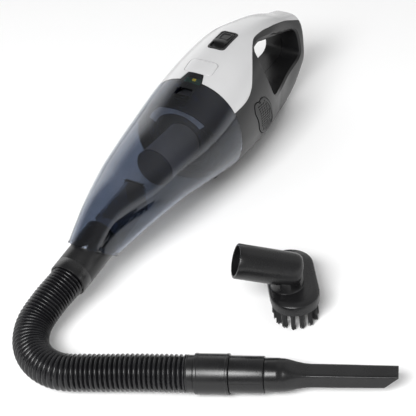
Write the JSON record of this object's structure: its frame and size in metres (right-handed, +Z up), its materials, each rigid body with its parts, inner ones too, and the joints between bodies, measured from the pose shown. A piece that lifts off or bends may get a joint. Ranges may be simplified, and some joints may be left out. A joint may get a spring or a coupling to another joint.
{
  "type": "handheld vacuum cleaner",
  "caption": "Cordless handheld vacuum with a see-through dust bin, flexible hose, crevice tool and separate dusting brush",
  "frame": {"origin": "middle of the front foot's sole, on the table", "axes": "+Z up, -Y towards the nozzle, +X towards the vacuum's left side"},
  "size_m": [0.367, 0.5208, 0.1285],
  "materials": {
    "black_shell": "satin black ABS with fine moulded texture",
    "black_grip": "satin black ABS",
    "white_shell": "glossy white ABS",
    "smoke_clear": "clear smoke-blue polycarbonate",
    "grey_ring": "light grey moulded plastic",
    "grey_fan": "mid grey moulded plastic",
    "filter_cloth": "pleated brown-grey filter paper",
    "steel": "plain steel",
    "battery_wrap": "shrink-wrapped",
    "board_green": "green lacquered circuit board",
    "led_lens": "small clear yellow lens",
    "rubber": "soft black rubber",
    "hose_black": "corrugated black PVC",
    "tool_black": "satin black ABS",
    "bristle": "fine black nylon"
  },
  "bodies": {
    "vacuum_body": {"housing_left": "black_shell", "housing_right": "black_shell", "top_cover": "white_shell", "exhaust_grille_left": "black_grip", "exhaust_grille_right": "black_grip", "filter_seat": "black_shell", "fan_housing": "grey_fan", "motor_mount": "black_shell", "motor_can": "steel", "motor_end_cap": "black_shell", "battery_tray": "black_shell", "battery_cell_left": "battery_wrap", "battery_cell_right": "battery_wrap", "charge_socket": "black_grip", "control_board": "board_green", "led_board": "board_green", "status_led": "led_lens", "switch_bezel": "black_grip", "release_spring": "steel", "front_foot": "rubber", "rear_foot": "rubber", "housing_screw_1": "steel", "housing_screw_2": "steel", "housing_screw_3": "steel"},
    "rotor": {"motor_shaft": "steel", "fan_impeller": "grey_fan"},
    "power_switch": {"switch_slider": "black_grip"},
    "release_latch": {"release_button": "white_shell", "latch_hook": "black_shell"},
    "bin": {"dust_bin": "smoke_clear", "inlet_duct": "smoke_clear", "flap_pin": "steel"},
    "flap": {"inlet_flap": "rubber"},
    "filter": {"filter_frame": "black_shell", "filter_grip_ring": "grey_ring", "filter_cup": "filter_cloth", "filter_end_disc": "black_shell"},
    "hose_set": {"hose_adapter": "tool_black", "hose": "hose_black", "hose_collar": "tool_black", "hose_sleeve": "tool_black"},
    "adapter": {"tool_adapter": "tool_black"},
    "crevice": {"crevice_tool": "tool_black"},
    "dusting_brush": {"brush_head": "tool_black", "brush_bristles": "bristle"}
  },
  "joints": [
    {"name": "fan_spin", "type": "hinge", "parent": "vacuum_body", "child": "rotor", "pos_m": [0, 0.03, 0.062], "axis": [0, 1, 0], "continuous": true},
    {"name": "switch_slide", "type": "slide", "parent": "vacuum_body", "child": "power_switch", "axis": [0, -1, 0], "range_m": [0, 0.006]},
    {"name": "release_press", "type": "slide", "parent": "vacuum_body", "child": "release_latch", "axis": [0, 0, -1], "range_m": [0, 0.003], "stiffness_N_per_m": 1200, "springref_m": -0.0005, "deforming": ["release_spring"]},
    {"name": "bin_slide", "type": "slide", "parent": "vacuum_body", "child": "bin", "axis": [0, -1, 0], "range_m": [0, 0.06]},
    {"name": "flap_hinge", "type": "hinge", "parent": "bin", "child": "flap", "pos_m": [0, -0.1201, 0.067], "axis": [1, 0, 0], "range_deg": [0, 60]},
    {"name": "filter_pull", "type": "slide", "parent": "vacuum_body", "child": "filter", "axis": [0, -1, 0], "range_m": [0, 0.014]},
    {"name": "hose_pull", "type": "slide", "parent": "bin", "child": "hose_set", "axis": [0, -0.9886, -0.1506], "range_m": [0, 0.03]},
    {"name": "adapter_pull", "type": "slide", "parent": "hose_set", "child": "adapter", "axis": [0.9121, 0.41, 0], "range_m": [0, 0.018]},
    {"name": "crevice_pull", "type": "slide", "parent": "adapter", "child": "crevice", "axis": [0.9121, 0.41, 0], "range_m": [0, 0.018]},
    {"name": "brush_lift", "type": "slide", "parent": "vacuum_body", "child": "dusting_brush", "axis": [0, 0, 1], "range_m": [0, 0.1]}
  ]
}
